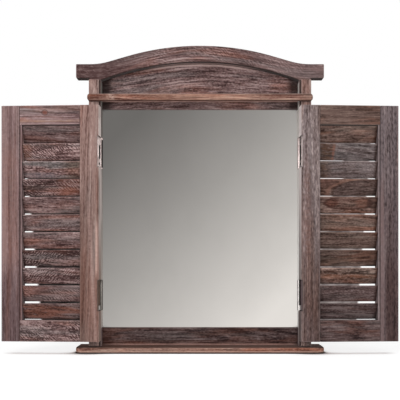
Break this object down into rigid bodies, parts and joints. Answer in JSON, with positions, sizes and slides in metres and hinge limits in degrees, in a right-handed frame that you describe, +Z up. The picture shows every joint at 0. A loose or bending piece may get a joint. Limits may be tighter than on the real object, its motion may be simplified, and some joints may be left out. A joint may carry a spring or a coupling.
{
  "type": "shuttered wall mirror",
  "caption": "Wall mirror framed like a small window, with an arched crown, a shelf and hinged louvred shutters that fold back.",
  "frame": {"origin": "middle of the crown's back face, where the mirror lies against the wall", "axes": "+X to the right seen from the room, +Y into the wall, +Z up"},
  "size_m": [0.6708, 0.0606, 0.5278],
  "materials": {
    "frame_wood": "brown stain rubbed thin, strong grain, dry and nearly matt",
    "shutter_wood": "brown stain rubbed thin, strong grain, dry and nearly matt",
    "mirror": "polished silvered glass",
    "hardboard": "plain hardboard, matt",
    "steel": "plated sheet steel, slightly worn",
    "brass": "brass-plated sheet, plain"
  },
  "bodies": {
    "frame": {"crown": "frame_wood", "frieze_board": "frame_wood", "left_post": "frame_wood", "right_post": "frame_wood", "left_lining": "frame_wood", "right_lining": "frame_wood", "ledge_strip": "frame_wood", "bottom_rail": "frame_wood", "shelf": "frame_wood", "mirror_glass": "mirror", "backing_board": "hardboard", "left_lower_backing_point": "steel", "left_upper_backing_point": "steel", "right_lower_backing_point": "steel", "right_upper_backing_point": "steel", "left_wall_hanger": "brass", "right_wall_hanger": "brass", "left_lower_frame_leaf": "steel", "left_upper_frame_leaf": "steel", "right_lower_frame_leaf": "steel", "right_upper_frame_leaf": "steel", "left_lower_hinge_pin": "steel", "left_upper_hinge_pin": "steel", "right_lower_hinge_pin": "steel", "right_upper_hinge_pin": "steel"},
    "left_shutter": {"left_lower_shutter_leaf": "steel", "left_upper_shutter_leaf": "steel", "left_shutter_hinge_stile": "shutter_wood", "left_shutter_outer_stile": "shutter_wood", "left_shutter_top_rail": "shutter_wood", "left_shutter_bottom_rail": "shutter_wood", "left_shutter_louvre_01": "shutter_wood", "left_shutter_louvre_02": "shutter_wood", "left_shutter_louvre_03": "shutter_wood", "left_shutter_louvre_04": "shutter_wood", "left_shutter_louvre_05": "shutter_wood", "left_shutter_louvre_06": "shutter_wood", "left_shutter_louvre_07": "shutter_wood", "left_shutter_louvre_08": "shutter_wood", "left_shutter_louvre_09": "shutter_wood", "left_shutter_louvre_10": "shutter_wood", "left_shutter_louvre_11": "shutter_wood"},
    "right_shutter": {"right_lower_shutter_leaf": "steel", "right_upper_shutter_leaf": "steel", "right_shutter_hinge_stile": "shutter_wood", "right_shutter_outer_stile": "shutter_wood", "right_shutter_top_rail": "shutter_wood", "right_shutter_bottom_rail": "shutter_wood", "right_shutter_louvre_01": "shutter_wood", "right_shutter_louvre_02": "shutter_wood", "right_shutter_louvre_03": "shutter_wood", "right_shutter_louvre_04": "shutter_wood", "right_shutter_louvre_05": "shutter_wood", "right_shutter_louvre_06": "shutter_wood", "right_shutter_louvre_07": "shutter_wood", "right_shutter_louvre_08": "shutter_wood", "right_shutter_louvre_09": "shutter_wood", "right_shutter_louvre_10": "shutter_wood", "right_shutter_louvre_11": "shutter_wood"}
  },
  "joints": [
    {"name": "left_shutter_hinge", "type": "hinge", "parent": "frame", "child": "left_shutter", "pos_m": [-0.1684, -0.0402, -0.2945], "axis": [0, 0, 1], "range_deg": [-6, 183]},
    {"name": "right_shutter_hinge", "type": "hinge", "parent": "frame", "child": "right_shutter", "pos_m": [0.1684, -0.0402, -0.2945], "axis": [0, 0, -1], "range_deg": [-6, 183]}
  ]
}
